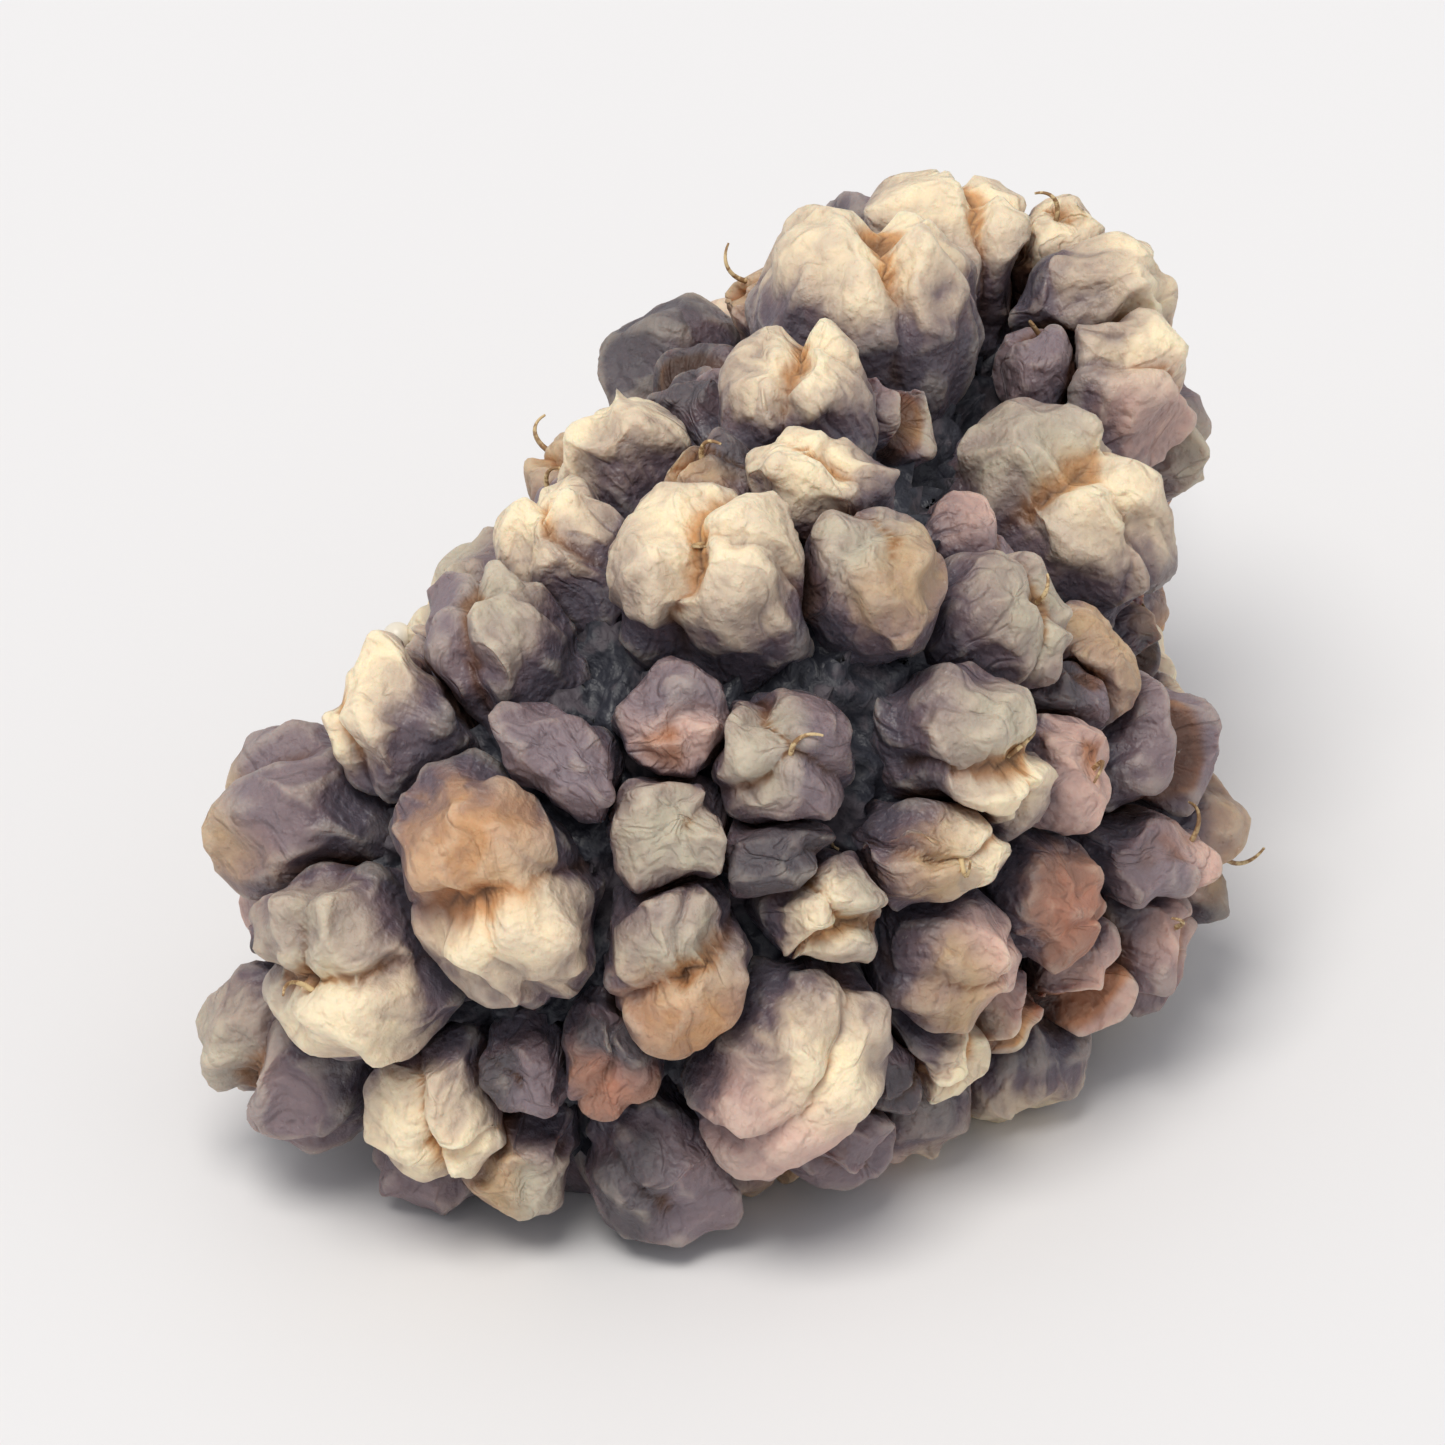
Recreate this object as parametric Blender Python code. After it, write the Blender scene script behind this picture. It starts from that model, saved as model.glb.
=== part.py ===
"""A dried mulberry lying on its side, with its short stalk.

The fruit is one fused body: a core, and the drupelets that stand out of it all round. The stalk is
a second piece, which sits in a hole at the fruit's stem end. Metres, +Z up. +X runs along the
fruit to its stem end, and the fruit rests on z = 0 on its flattened lowest drupelets.

Drupelets on the side that the photograph shows stand where their pixels say, and a seeded rule
packs the others round them.
"""

import math
from random import Random

import bmesh
import bpy
from mathutils import Matrix, Vector, noise
from mathutils.bvhtree import BVHTree

MM = 0.001

# Body: the surface that the drupelets' middles lie on
HALF_LENGTH = 8.55 * MM
RADIUS = 5.17 * MM
WIDTH_SHARE = 0.94
HEIGHT_SHARE = 1.07
BLUNTNESS = 2.35  # 2 is an ellipse, more is blunter
TIP_FULLNESS = 0.1  # share by which the tip is wider and the stem end narrower
SAG = 0.18  # share by which the underside is wider and the top narrower
STEM_END_LIFT = 1.0 * MM
SIDEWAYS_BEND = 1.93 * MM
TIP_TURN = 0.88 * MM
UNEVEN_SHARE = 0.13
UNEVEN_SIZE = 5.0 * MM
# Swellings and hollows: where along the body, at what angle in degrees, and by what share
SWELLINGS = ((0.85, 125, 0.3), (0.55, 185, -0.26), (0.1, 208, 0.06), (-0.45, 220, -0.13))
SWELLING_LENGTH = 0.3
SWELLING_TURN = math.radians(35)
FLAT_BELOW = -3.85 * MM
FLAT_SHARE = 0.1
MIDDLE = Vector((-1.513, 0.34, 4.85)) * MM  # puts the box of the whole part on the origin

# The fold on top, near the stem end
FOLD_START = Vector((1.6, -3.2)) * MM
FOLD_END = Vector((5.4, -1.4)) * MM
FOLD_DEPTH = 2.0 * MM
FOLD_WIDTH = 1.5 * MM

# The photograph's view of the fruit
VIEW_AZIMUTH = math.radians(-63.25)
VIEW_ELEVATION = math.radians(34)
PIXEL = MM / 8.2
MIDDLE_PIXEL = (978.3, 986.9)

# The drupelets that the photograph shows, in its pixels: middle x and y, length and width, the
# angle of the length, and the number of lobes. No lobe is a collapsed drupelet, with a dip in it.
SEEN = (
    (990, 934, 25, 15, -28, 2), (1001, 927, 22, 13, -8, 2), (1014, 927, 13, 12, 0, 1),
    (1023, 932, 15, 12, -75, 1), (1013, 941, 15, 10, 90, 1), (1023, 945, 20, 12, 85, 2),
    (1014, 960, 28, 17, -42, 2), (981, 946, 17, 14, -5, 2), (983, 958, 16, 12, -25, 1),
    (990, 969, 18, 15, -40, 1), (1008, 975, 15, 13, 0, 2), (1018, 980, 14, 11, -20, 1),
    (965, 943, 16, 12, 0, 0), (959, 955, 18, 10, 5, 1), (949, 959, 10, 8, 45, 1),
    (951, 966, 16, 12, 15, 2), (970, 969, 24, 18, -12, 2), (942, 977, 17, 15, 0, 2),
    (930, 987, 16, 15, 0, 2), (919, 1000, 19, 18, 0, 1), (943, 1008, 29, 19, -60, 2),
    (925, 1018, 24, 18, -48, 2), (952, 993, 18, 10, -35, 1), (966, 988, 14, 12, 90, 1),
    (979, 992, 17, 15, -10, 3), (965, 1002, 15, 14, 0, 1), (966, 1018, 21, 16, 90, 2),
    (958, 1030, 13, 11, 80, 1), (916, 1031, 22, 12, -50, 2), (936, 1037, 17, 15, 0, 2),
    (946, 1044, 13, 11, 0, 1), (946, 1033, 11, 10, 0, 1), (912, 1016, 11, 9, 90, 1),
    (964, 1045, 16, 11, 0, 1), (1004, 992, 20, 14, -50, 2), (999, 1004, 17, 12, 5, 1),
    (978, 1005, 13, 11, 0, 1), (985, 1012, 15, 14, 0, 3), (1013, 1011, 15, 12, 60, 1),
    (1001, 1018, 16, 14, 20, 1), (980, 1031, 26, 17, 60, 1), (1000, 1030, 12, 10, 70, 1),
    (1008, 1026, 14, 11, 80, 0), (1018, 1021, 16, 11, 60, 0), (1027, 1018, 17, 12, 80, 0),
    (1027, 990, 18, 13, -80, 0), (1015, 994, 14, 11, 80, 1), (1027, 1005, 12, 10, 0, 1),
    (987, 1040, 14, 10, 15, 1), (993, 1034, 10, 9, 0, 1), (1016, 984, 11, 9, 0, 1),
)
SEEN_SWELL = 1.15  # drupelets run on under their neighbours, past the edges in the picture
MOST_SLANT = 0.15  # least share of the squared size that a slanting drupelet is taken to keep
STEP_INWARDS = 0.98  # for a line of sight that misses the body
# Bare places in the picture, where dark gaps show: middle and radius
BARE = ((1003, 944, 8), (997, 957, 7), (957, 977, 4), (987, 983, 4), (961, 1037, 5), (943, 1026, 5))

# The other drupelets
FILL_SEED = 142
FILL_SIZES = ((2.6 * MM, 0.5 * MM), (1.7 * MM, 0.2 * MM))  # first large ones, then small ones in gaps
FILL_OVAL = 0.12
FILL_LOBES = (0, 1, 1, 1, 2, 2, 2, 3)
CROWDING = 0.86  # how near two drupelets stand, as a share of their radii together

# Shape of a drupelet
APPARENT_RISE = 0.5 * MM  # how far a drupelet's middle in the picture stands out of the body
DOME_SHARE = 1.2  # height over radius
FLAT_DOME_SHARE = 0.95
CLEFT_DEPTH = 0.26  # between lobes, as a share of the height
CUP_DEPTH = 0.25  # in a collapsed drupelet
TIP_DENT = 0.08  # in a round one
DIP_NARROWING = 0.4  # how much a dip draws its sides in
ROOT_DEPTH = 1.3  # times the height
ROOT_NARROWING = 0.5
SIDES = {0: 7, 1: 7, 2: 8, 3: 6}
RING_ANGLES = (32, 64, 98)  # degrees from the top of a drupelet

# Core and the fine surface that places are found on
CORE_INSET = 1.0 * MM
CORE_RINGS, CORE_SIDES = 10, 14
FINE_RINGS, FINE_SIDES = 44, 48

# Stalk and its hole
STALK_RADIUS = 0.62 * MM
STALK_FOOT_RADIUS = 0.95 * MM
STALK_ROUTE = ((-1.9, 0.0, 0.0), (0.6, 0.2, 0.1), (2.4, 0.7, -0.3), (4.2, 2.0, -1.1))  # mm from the stem end
STALK_FOOT_LENGTH = 0.28  # this and the next three are shares of the stalk's length
STALK_END_FROM = 0.85
LEAVES_BODY_AT = 0.35
HOLE_START = -0.06
STALK_END_SWELL = 0.08 * MM
STALK_SIDES = 12
STALK_STEPS = 10
HOLE_GAP = 0.3 * MM
BARE_ROUND_STALK = 1.5 * MM

PURPLE = (0.10, 0.075, 0.10, 1)
STRAW = (0.66, 0.50, 0.27, 1)


def clear_scene():
    for obj in list(bpy.data.objects):
        bpy.data.objects.remove(obj)


def material(name, colour, roughness):
    made = bpy.data.materials.new(name)
    made.use_nodes = True
    shader = made.node_tree.nodes["Principled BSDF"]
    shader.inputs["Base Color"].default_value = colour
    shader.inputs["Roughness"].default_value = roughness
    return made


def mesh_object(name, bm, collection=None):
    mesh = bpy.data.meshes.new(name)
    bm.to_mesh(mesh)
    bm.free()
    made = bpy.data.objects.new(name, mesh)
    (collection or bpy.context.scene.collection).objects.link(made)
    return made


def body_point(along, angle, inset):
    """Point of the body, from -1 at the tip to 1 at the stem end. Angle 0 is +Y, a quarter turn +Z."""
    radius = (RADIUS - inset) * (1 - TIP_FULLNESS * along) * (1 - abs(along) ** BLUNTNESS) ** (1 / BLUNTNESS)
    across, up = math.cos(angle), math.sin(angle)
    spot = Vector((along * HALF_LENGTH, across * RADIUS, up * RADIUS)) / UNEVEN_SIZE
    radius *= 1 + UNEVEN_SHARE * noise.noise(spot + Vector((3.1, 7.7, 1.3)))
    for swollen_at, facing_way, share in SWELLINGS:
        turn = (angle - math.radians(facing_way) + math.pi) % (2 * math.pi) - math.pi
        away = ((along - swollen_at) / SWELLING_LENGTH) ** 2 + (turn / SWELLING_TURN) ** 2
        radius *= 1 + share * math.exp(-away)
    centre_y = SIDEWAYS_BEND * (along**2 - 0.4) - TIP_TURN * along**3
    point = Vector((
        along * (HALF_LENGTH - inset),
        centre_y + radius * WIDTH_SHARE * across * (1 - SAG * up),
        radius * HEIGHT_SHARE * up + STEM_END_LIFT * along,
    ))
    if up > 0:
        line = FOLD_END - FOLD_START
        share = (point.xy - FOLD_START).dot(line) / line.length_squared
        nearest = FOLD_START + line * max(0.0, min(1.0, share))
        point.z -= FOLD_DEPTH * math.exp(-(((point.xy - nearest).length / FOLD_WIDTH) ** 2)) * up
    if point.z < FLAT_BELOW:
        point.z = FLAT_BELOW + (point.z - FLAT_BELOW) * FLAT_SHARE
    return MIDDLE + point


def body(inset, ring_count, side_count):
    bm = bmesh.new()
    rings = []
    for k in range(1, ring_count):
        along = -math.cos(math.pi * k / ring_count)
        angles = [2 * math.pi * i / side_count for i in range(side_count)]
        rings.append([bm.verts.new(body_point(along, angle, inset)) for angle in angles])
    tip, stem_end = (bm.verts.new(body_point(along, 0, inset)) for along in (-1, 1))
    for i in range(side_count):
        after = (i + 1) % side_count
        bm.faces.new((tip, rings[0][after], rings[0][i]))
        bm.faces.new((stem_end, rings[-1][i], rings[-1][after]))
        for near, far in zip(rings, rings[1:]):
            bm.faces.new((near[i], near[after], far[after], far[i]))
    bmesh.ops.recalc_face_normals(bm, faces=bm.faces)
    bmesh.ops.triangulate(bm, faces=bm.faces)
    return bm


def view_directions():
    """The picture's right and up, and the way from the fruit back to the camera."""
    az, el = VIEW_AZIMUTH, VIEW_ELEVATION
    right = Vector((math.cos(az), math.sin(az), 0))
    up = Vector((-math.sin(az) * math.sin(el), math.cos(az) * math.sin(el), math.cos(el)))
    return right, up, right.cross(up)


def seen_spot(surface, x, y):
    """Where the line of sight through a pixel meets the surface, or comes nearest to it."""
    right, up, back = view_directions()
    offset = (right * (x - MIDDLE_PIXEL[0]) - up * (y - MIDDLE_PIXEL[1])) * PIXEL
    while True:
        spot, normal, _, _ = surface.ray_cast(MIDDLE + offset + back * HALF_LENGTH * 3, -back)
        if spot:
            return spot, normal
        offset *= STEP_INWARDS


def facing(axis, direction):
    """A drupelet's own directions: its length's, its width's and its outward axis."""
    long_way = (direction - axis * direction.dot(axis)).normalized()
    return long_way, axis.cross(long_way), axis


def foreshortening(way, back):
    """How much shorter a drupelet looks where it lies at a slant. Its height makes up for half."""
    return max(1 - way.dot(back) ** 2, MOST_SLANT) ** 0.25


def half_sizes(length, width, lobes):
    share = DOME_SHARE if lobes else FLAT_DOME_SHARE
    return Vector((length / 2, width / 2, share * (length + width) / 4))


def drupelet_places():
    """Each drupelet's middle, own directions, half sizes and number of lobes."""
    fine = body(-APPARENT_RISE, FINE_RINGS, FINE_SIDES)
    surface = BVHTree.FromBMesh(fine)
    candidates = [(face.calc_center_median(), face.normal.copy()) for face in fine.faces]
    fine.free()
    right, up, back = view_directions()
    places = []
    for x, y, length, width, turn, lobes in SEEN:
        spot, axis = seen_spot(surface, x, y)
        angle = math.radians(turn)
        direction = right * math.cos(angle) + up * math.sin(angle)
        ways = facing(axis, direction)
        swell = SEEN_SWELL * PIXEL
        length *= swell / foreshortening(ways[0], back)
        width *= swell / foreshortening(ways[1], back)
        places.append((spot, ways, half_sizes(length, width, lobes), lobes))
    taken = [(spot, (size.x + size.y) / 2) for spot, _, size, _ in places]
    taken += [(seen_spot(surface, x, y)[0], radius * PIXEL) for x, y, radius in BARE]
    taken.append((stalk_point(LEAVES_BODY_AT), BARE_ROUND_STALK))
    gaps = [min((spot - other).length - radius for other, radius in taken) for spot, _ in candidates]
    draw = Random(FILL_SEED)
    for usual_size, spread in FILL_SIZES:
        while True:
            lobes = draw.choice(FILL_LOBES)
            across = usual_size + spread * draw.uniform(-1, 1)
            oval = 1 + FILL_OVAL * draw.random()
            direction = Vector((draw.uniform(-1, 1), draw.uniform(-1, 1), draw.uniform(-1, 1)))
            free = [i for i, gap in enumerate(gaps) if gap > across / 2 * (2 * CROWDING - 1)]
            if not free:
                break
            spot, axis = candidates[min(free, key=lambda i: gaps[i])]
            size = half_sizes(across * oval, across / oval, lobes)
            places.append((spot, facing(axis, direction), size, lobes))
            near = [(other - spot).length - across / 2 for other, _ in candidates]
            gaps = [min(pair) for pair in zip(gaps, near)]
    return places


def dip(lobes, turn, polar):
    """How far the top is pressed in at this turn and angle from the top, as a share of the height."""
    near_top = max(0.0, 1 - polar / math.radians(90))
    if lobes == 0:
        return CUP_DEPTH * near_top**2
    if lobes == 1:
        return TIP_DENT * near_top**3
    crease = abs(math.sin(turn)) if lobes == 2 else 0.5 + 0.5 * math.cos(lobes * turn)
    return CLEFT_DEPTH * near_top**0.6 * (1.0 if polar == 0 else crease**4)


def drupelet(spot, ways, size, lobes):
    """A domed top with its lobes, and a narrow root, which points into the body."""
    sides = SIDES[lobes]
    bm = bmesh.new()
    rings = []
    for polar in (math.radians(a) for a in RING_ANGLES):
        ring = []
        for i in range(sides):
            turn = 2 * math.pi * i / sides
            high, wide = math.cos(polar), math.sin(polar)
            pressed = dip(lobes, turn, polar)
            if high < 0:
                wide *= 1 + ROOT_NARROWING * high
            wide *= 1 - DIP_NARROWING * pressed
            ring.append(bm.verts.new((wide * math.cos(turn), wide * math.sin(turn), high - pressed)))
        rings.append(ring)
    top = bm.verts.new((0, 0, 1 - dip(lobes, 0, 0)))
    root = bm.verts.new((0, 0, -ROOT_DEPTH))
    for i in range(sides):
        after = (i + 1) % sides
        bm.faces.new((top, rings[0][i], rings[0][after]))
        bm.faces.new((root, rings[-1][after], rings[-1][i]))
        for upper, lower in zip(rings, rings[1:]):
            bm.faces.new((upper[i], lower[i], lower[after], upper[after]))
    turned = Matrix(ways).transposed().to_4x4()
    middle = spot - ways[2] * APPARENT_RISE
    placed = Matrix.Translation(middle) @ turned @ Matrix.Diagonal((*size, 1))
    bmesh.ops.transform(bm, matrix=placed, verts=bm.verts)
    bmesh.ops.triangulate(bm, faces=bm.faces)
    return bm


def stalk_point(share):
    """Point of the stalk's centre line, a cubic Bezier curve."""
    a, b, c, d = (Vector(point) * MM for point in STALK_ROUTE)
    rest = 1 - share
    curve = a * rest**3 + b * 3 * rest**2 * share + c * 3 * rest * share**2 + d * share**3
    return body_point(1, 0, 0) + curve


def stalk_radius(share):
    """Wider at its foot in the fruit, and a little at its cut end."""
    foot = math.exp(-((share / STALK_FOOT_LENGTH) ** 2))
    end = max(0.0, (share - STALK_END_FROM) / (1 - STALK_END_FROM))
    return STALK_RADIUS + (STALK_FOOT_RADIUS - STALK_RADIUS) * foot + STALK_END_SWELL * end * end


def stalk_tube(gap, first):
    """A closed tube along the stalk, that much wider, from that share of its length."""
    bm = bmesh.new()
    rings = []
    for k in range(STALK_STEPS + 1):
        share = first + (1 - first) * k / STALK_STEPS
        ahead = stalk_point(share + 0.01) - stalk_point(share - 0.01)
        place = Matrix.Translation(stalk_point(share)) @ ahead.to_track_quat("Z", "Y").to_matrix().to_4x4()
        radius = stalk_radius(share) + gap
        turns = [2 * math.pi * i / STALK_SIDES for i in range(STALK_SIDES)]
        rings.append([bm.verts.new(place @ (Vector((math.cos(t), math.sin(t), 0)) * radius)) for t in turns])
    bm.faces.new(rings[0])
    bm.faces.new(rings[-1])
    for near, far in zip(rings, rings[1:]):
        for i in range(STALK_SIDES):
            after = (i + 1) % STALK_SIDES
            bm.faces.new((near[i], near[after], far[after], far[i]))
    bmesh.ops.triangulate(bm, faces=bm.faces)
    bmesh.ops.recalc_face_normals(bm, faces=bm.faces)
    return bm


def apply_boolean(obj, operation, **operand):
    modifier = obj.modifiers.new(operation.lower(), "BOOLEAN")
    modifier.operation = operation
    modifier.solver = "MANIFOLD"
    for key, value in operand.items():
        setattr(modifier, key, value)
    bpy.context.view_layer.objects.active = obj
    bpy.ops.object.modifier_apply(modifier=modifier.name)


def keep_largest_shell(obj):
    """Fills the hollows that a union sealed, and drops loose scraps."""
    bm = bmesh.new()
    bm.from_mesh(obj.data)
    unseen = set(bm.verts)
    shells = []
    while unseen:
        shell = [unseen.pop()]
        for vert in shell:
            for edge in vert.link_edges:
                other = edge.other_vert(vert)
                if other in unseen:
                    unseen.discard(other)
                    shell.append(other)
        shells.append(shell)
    shells.sort(key=len)
    bmesh.ops.delete(bm, geom=[vert for shell in shells[:-1] for vert in shell], context="VERTS")
    bm.to_mesh(obj.data)
    bm.free()


def floor_cutter():
    bm = bmesh.new()
    bmesh.ops.create_cube(bm, size=1)
    size = Matrix.Diagonal((6 * HALF_LENGTH, 6 * HALF_LENGTH, HALF_LENGTH, 1))
    bmesh.ops.transform(bm, matrix=Matrix.Translation((0, 0, -HALF_LENGTH / 2)) @ size, verts=bm.verts)
    return mesh_object("floor_cutter", bm)


def finish(obj, name, colour, roughness):
    obj.data.materials.clear()
    obj.data.materials.append(material(name, colour, roughness))
    obj.data.shade_smooth()
    obj.data.set_sharp_from_angle(angle=math.radians(60))


def build_fruit():
    fruit = mesh_object("fruit", body(CORE_INSET, CORE_RINGS, CORE_SIDES))
    drupelets = bpy.data.collections.new("drupelets")
    bpy.context.scene.collection.children.link(drupelets)
    for place in drupelet_places():
        mesh_object("drupelet", drupelet(*place), drupelets)
    apply_boolean(fruit, "UNION", operand_type="COLLECTION", collection=drupelets)
    for obj in list(drupelets.objects):
        bpy.data.objects.remove(obj)
    bpy.data.collections.remove(drupelets)
    for cutter in (floor_cutter(), mesh_object("stalk_hole", stalk_tube(HOLE_GAP, HOLE_START))):
        apply_boolean(fruit, "DIFFERENCE", object=cutter)
        bpy.data.objects.remove(cutter)
    keep_largest_shell(fruit)
    finish(fruit, "purple_skin", PURPLE, 0.75)


def build_stalk():
    finish(mesh_object("stalk", stalk_tube(0, 0)), "straw_stalk", STRAW, 0.7)


clear_scene()
build_fruit()
build_stalk()
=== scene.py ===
# A dried mulberry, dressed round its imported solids: finely wrinkled drupelets, a dark core, a
# fibrous stalk and a few dried styles. The drupelets stand where the solids' own rule puts them.

import math
from random import Random

import bmesh
import bpy
import numpy as np
from mathutils import Matrix, Vector, noise
from mathutils.bvhtree import BVHTree


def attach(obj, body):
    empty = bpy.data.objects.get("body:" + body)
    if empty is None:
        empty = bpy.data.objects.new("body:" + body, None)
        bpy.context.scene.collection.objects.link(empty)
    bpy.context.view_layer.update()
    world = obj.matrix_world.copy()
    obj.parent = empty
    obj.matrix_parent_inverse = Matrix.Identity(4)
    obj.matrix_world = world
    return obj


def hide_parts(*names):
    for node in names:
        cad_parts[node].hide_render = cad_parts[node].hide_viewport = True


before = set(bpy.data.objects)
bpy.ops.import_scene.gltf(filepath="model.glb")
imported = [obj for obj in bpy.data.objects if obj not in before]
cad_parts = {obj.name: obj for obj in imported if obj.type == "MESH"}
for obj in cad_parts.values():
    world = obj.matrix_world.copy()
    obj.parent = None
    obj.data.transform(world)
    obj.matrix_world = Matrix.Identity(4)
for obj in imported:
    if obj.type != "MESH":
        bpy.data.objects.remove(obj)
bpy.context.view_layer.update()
mm = 0.001
print("frame loaded")


# Helpers for modelling

def addObject(name, data):
    added = bpy.data.objects.new(name, data)
    bpy.context.scene.collection.objects.link(added)
    return added


def closeEditing():
    bpy.ops.object.mode_set(mode="OBJECT")


def deselectAll():
    if bpy.context.object and bpy.context.object.mode != "OBJECT":
        closeEditing()
    bpy.ops.object.select_all(action="DESELECT")


def pickPiece(piece):
    deselectAll()
    piece.select_set(True)
    bpy.context.view_layer.objects.active = piece


def applyModifier(piece, kind, **settings):
    modifier = piece.modifiers.new(kind, kind)
    for name, value in settings.items():
        setattr(modifier, name, value)
    pickPiece(piece)
    bpy.ops.object.modifier_apply(modifier=modifier.name)


def openForEditing(piece):
    pickPiece(piece)
    bpy.ops.object.mode_set(mode="EDIT")
    bpy.ops.mesh.select_mode(type="VERT")


def pickVerts(piece, wanted):
    opened = bmesh.from_edit_mesh(piece.data)
    for vert in opened.verts:
        vert.select = bool(wanted(vert.co))
    opened.select_flush_mode()


# Moves the wanted vertices, and those within reach by less
def shapeBy(operator, piece, wanted, reach, falloff, **settings):
    openForEditing(piece)
    pickVerts(piece, wanted)
    operator(
        use_proportional_edit=True,
        proportional_edit_falloff=falloff,
        proportional_size=reach,
        **settings,
    )
    closeEditing()


# Squeezes a form by one share across and one down, towards a point below its middle
def pressIn(form, wanted, across, down, reach, falloff="SHARP"):
    settings = {"value": (across, across, down), "center_override": drupeletForm["squeezeTo"]}
    shapeBy(bpy.ops.transform.resize, form, wanted, reach, falloff, **settings)


def pushAlong(form, wanted, move, reach):
    shapeBy(bpy.ops.transform.translate, form, wanted, reach, "SMOOTH", value=move)


# Textures are placed by a ruler, and have their sizes in its unit
def makeRuler(name, scale, place=(0, 0, 0)):
    ruler = addObject(name, None)
    ruler.scale, ruler.location = scale, place
    bpy.context.view_layer.update()
    return ruler


def makeTexture(kind, size, **settings):
    texture = bpy.data.textures.new(kind.lower(), kind)
    texture.noise_scale = size
    for name, value in settings.items():
        setattr(texture, name, value)
    return texture


def ridgedTexture(size, octaves):
    return makeTexture("MUSGRAVE", size, musgrave_type="RIDGED_MULTIFRACTAL", octaves=octaves)


def raiseSurface(piece, texture, ruler, depth, level=0.5, direction="NORMAL"):
    applyModifier(
        piece, "DISPLACE", texture=texture, texture_coords="OBJECT", texture_coords_object=ruler,
        strength=depth, mid_level=level, direction=direction,
    )


def joinAll(pieces, name):
    deselectAll()
    for piece in pieces:
        piece.select_set(True)
    bpy.context.view_layer.objects.active = pieces[0]
    bpy.ops.object.join()
    pieces[0].name = pieces[0].data.name = name
    return pieces[0]


# The body: the rule that the solids follow, so that the places come out the same
bodyShape = {
    "halfLength": 8.55 * mm,
    "radius": 5.17 * mm,
    "widthShare": 0.94,
    "heightShare": 1.07,
    "bluntness": 2.35,
    "tipFullness": 0.1,
    "sag": 0.18,
    "stemEndLift": 1.0 * mm,
    "sidewaysBend": 1.93 * mm,
    "bendMiddle": 0.4,
    "tipTurn": 0.88 * mm,
    "unevenShare": 0.13,
    "unevenSize": 5.0 * mm,
    "unevenPlace": Vector((3.1, 7.7, 1.3)),
    # where along, facing which way in degrees, by what share
    "swellings": ((0.85, 125, 0.3), (0.55, 185, -0.26), (0.1, 208, 0.06), (-0.45, 220, -0.13)),
    "swellingLength": 0.3,
    "swellingTurn": math.radians(35),
    "flatBelow": -3.85 * mm,
    "flatShare": 0.1,
    "middle": Vector((-1.513, 0.34, 4.85)) * mm,
    "foldStart": Vector((1.6, -3.2)) * mm,
    "foldEnd": Vector((5.4, -1.4)) * mm,
    "foldDepth": 2.0 * mm,
    "foldWidth": 1.5 * mm,
}


# along runs from -1 at the tip to 1 at the stem end; angle 0 is +Y, a quarter turn is +Z
def bodyPoint(along, angle, inset):
    b = bodyShape
    radius = (b["radius"] - inset) * (1 - b["tipFullness"] * along)
    radius *= (1 - abs(along) ** b["bluntness"]) ** (1 / b["bluntness"])
    across, up = math.cos(angle), math.sin(angle)
    spot = Vector((along * b["halfLength"], across * b["radius"], up * b["radius"]))
    radius *= 1 + b["unevenShare"] * noise.noise(spot / b["unevenSize"] + b["unevenPlace"])
    for swollenAt, facingWay, share in b["swellings"]:
        turn = (angle - math.radians(facingWay) + math.pi) % (2 * math.pi) - math.pi
        away = ((along - swollenAt) / b["swellingLength"]) ** 2 + (turn / b["swellingTurn"]) ** 2
        radius *= 1 + share * math.exp(-away)
    centreY = b["sidewaysBend"] * (along**2 - b["bendMiddle"]) - b["tipTurn"] * along**3
    point = Vector((
        along * (b["halfLength"] - inset),
        centreY + radius * b["widthShare"] * across * (1 - b["sag"] * up),
        radius * b["heightShare"] * up + b["stemEndLift"] * along,
    ))
    if up > 0:
        line = b["foldEnd"] - b["foldStart"]
        share = (point.xy - b["foldStart"]).dot(line) / line.length_squared
        nearest = b["foldStart"] + line * max(0.0, min(1.0, share))
        away = (point.xy - nearest).length / b["foldWidth"]
        point.z -= b["foldDepth"] * math.exp(-(away**2)) * up
    if point.z < b["flatBelow"]:
        point.z = b["flatBelow"] + (point.z - b["flatBelow"]) * b["flatShare"]
    return b["middle"] + point


def bodySurface(inset, ringCount, sideCount):
    surface = bmesh.new()
    rings = []
    for k in range(1, ringCount):
        along = -math.cos(math.pi * k / ringCount)
        angles = [2 * math.pi * i / sideCount for i in range(sideCount)]
        rings.append([surface.verts.new(bodyPoint(along, angle, inset)) for angle in angles])
    tip, stemEnd = (surface.verts.new(bodyPoint(along, 0, inset)) for along in (-1, 1))
    for i in range(sideCount):
        after = (i + 1) % sideCount
        surface.faces.new((tip, rings[0][after], rings[0][i]))
        surface.faces.new((stemEnd, rings[-1][i], rings[-1][after]))
        for near, far in zip(rings, rings[1:]):
            surface.faces.new((near[i], near[after], far[after], far[i]))
    bmesh.ops.recalc_face_normals(surface, faces=surface.faces)
    bmesh.ops.triangulate(surface, faces=surface.faces)
    return surface


# Where each drupelet stands
view = {
    "azimuth": math.radians(-63.25),
    "elevation": math.radians(34),
    "pixel": mm / 8.2,
    "middlePixel": (978.3, 986.9),
}

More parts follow.
